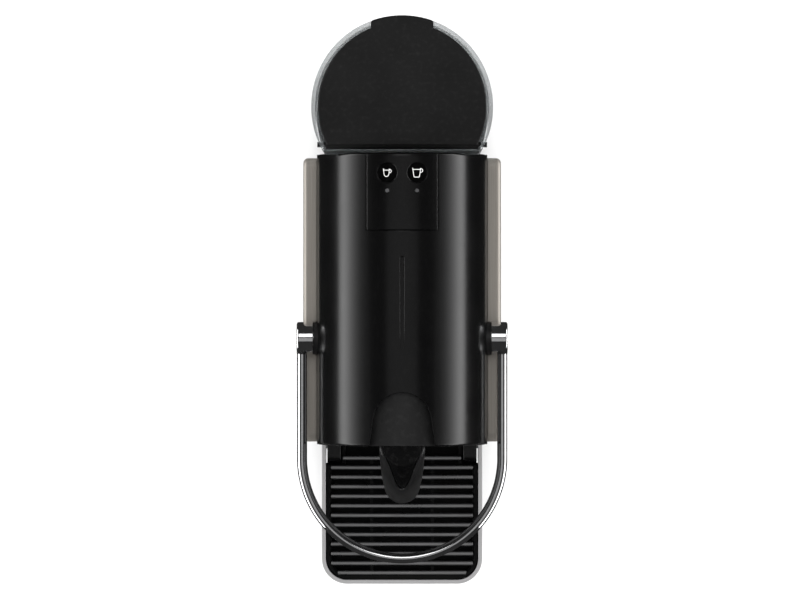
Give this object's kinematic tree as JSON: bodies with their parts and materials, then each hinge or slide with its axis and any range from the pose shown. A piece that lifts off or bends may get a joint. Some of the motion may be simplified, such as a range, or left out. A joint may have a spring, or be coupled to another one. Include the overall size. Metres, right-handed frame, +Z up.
{
  "type": "pod coffee machine",
  "caption": "Compact pod coffee machine with a vaulted shell, bail lever, sliding brew carriage, clear lidded tank, capsule drawer and folding drip tray.",
  "frame": {"origin": "middle of the footprint, on the table under the feet", "axes": "+X right seen from the front, +Y to the back where the tank is, +Z up"},
  "size_m": [0.1186, 0.326, 0.235],
  "materials": {
    "shell_gloss": "satin gloss black",
    "black_plastic": "fine grained black",
    "button_satin": "soft satin black",
    "spout_satin": "satin dark grey",
    "panel_metal": "brushed warm grey, anodised",
    "chrome": "polished plating",
    "tank_clear": "clear moulding",
    "band_silver": "satin silver",
    "grid_satin": "satin dark grey",
    "rubber": "matt",
    "steel": "brushed",
    "heater_metal": "as cast",
    "pump_coil": "lacquered steel round a resin coil",
    "board_green": "lacquered board",
    "lamp_clear": "frosted",
    "gear_resin": "natural resin"
  },
  "bodies": {
    "machine": {"base_plate": "black_plastic", "board_screws": "steel", "brew_hose": "rubber", "brew_wall_left": "black_plastic", "brew_wall_right": "black_plastic", "button_board": "board_green", "control_plate": "shell_gloss", "cord_gland": "rubber", "extraction_plate": "steel", "extraction_seal": "rubber", "flow_meter": "black_plastic", "front_fascia": "shell_gloss", "heater_block": "heater_metal", "lamp_pipes": "lamp_clear", "main_board": "board_green", "outer_shell": "shell_gloss", "panel_carrier_left": "black_plastic", "panel_carrier_right": "black_plastic", "pivot_bush_left": "black_plastic", "pivot_bush_right": "black_plastic", "pressure_hose": "rubber", "pump": "pump_coil", "pump_mounts": "rubber", "rear_wall": "black_plastic", "rubber_feet": "rubber", "side_frame_left": "black_plastic", "side_frame_right": "black_plastic", "side_panel_left": "panel_metal", "side_panel_right": "panel_metal", "socket_seal": "rubber", "spout_hood": "spout_satin", "spout_insert": "shell_gloss", "suction_hose": "rubber", "tank_socket": "black_plastic", "tank_stand": "black_plastic", "transfer_hose": "rubber"},
    "lever": {"lever_bail": "chrome", "lever_hub_left": "chrome", "lever_hub_right": "chrome", "sector_gear_left": "gear_resin", "sector_gear_right": "gear_resin"},
    "brew_carriage": {"carriage": "black_plastic", "carriage_racks": "gear_resin", "capsule_cage": "black_plastic", "piercing_blades": "steel", "capsule_shutter": "shell_gloss"},
    "tank": {"water_tank": "tank_clear", "tank_valve": "gear_resin", "valve_plunger": "gear_resin"},
    "lid": {"tank_lid": "black_plastic"},
    "drawer": {"drawer_bin": "black_plastic", "drawer_front": "shell_gloss"},
    "tray": {"drip_tray": "black_plastic", "tray_band": "band_silver", "tray_pins": "steel", "drip_grid": "grid_satin"},
    "small_button": {"small_cup_button": "button_satin"},
    "large_button": {"large_cup_button": "button_satin"}
  },
  "joints": [
    {"name": "lever_lift", "type": "hinge", "parent": "machine", "child": "lever", "pos_m": [0, -0.0169, 0.186], "axis": [-1, 0, 0], "range_deg": [0, 90]},
    {"name": "carriage_slide", "type": "slide", "parent": "machine", "child": "brew_carriage", "axis": [0, 1, 0], "range_m": [0, 0.03064], "deforming": ["brew_hose"]},
    {"name": "tank_lift", "type": "slide", "parent": "machine", "child": "tank", "axis": [0, 0, 1], "range_m": [0, 0.18]},
    {"name": "lid_hinge", "type": "hinge", "parent": "tank", "child": "lid", "pos_m": [0, 0.0912, 0.2198], "axis": [1, 0, 0], "range_deg": [0, 90]},
    {"name": "drawer_slide", "type": "slide", "parent": "machine", "child": "drawer", "axis": [0, -1, 0], "range_m": [0, 0.1]},
    {"name": "tray_fold", "type": "hinge", "parent": "drawer", "child": "tray", "pos_m": [0, -0.0815, 0.04], "axis": [-1, 0, 0], "range_deg": [0, 90]},
    {"name": "small_button_press", "type": "slide", "parent": "machine", "child": "small_button", "axis": [0, 0, -1], "range_m": [0, 0.0012], "stiffness_N_per_m": 300, "springref_m": -0.001},
    {"name": "large_button_press", "type": "slide", "parent": "machine", "child": "large_button", "axis": [0, 0, -1], "range_m": [0, 0.0012], "stiffness_N_per_m": 300, "springref_m": -0.001}
  ],
  "couplings": [
    {"joint": "carriage_slide", "follows": "lever_lift", "m_per_rad": 0.0195}
  ]
}
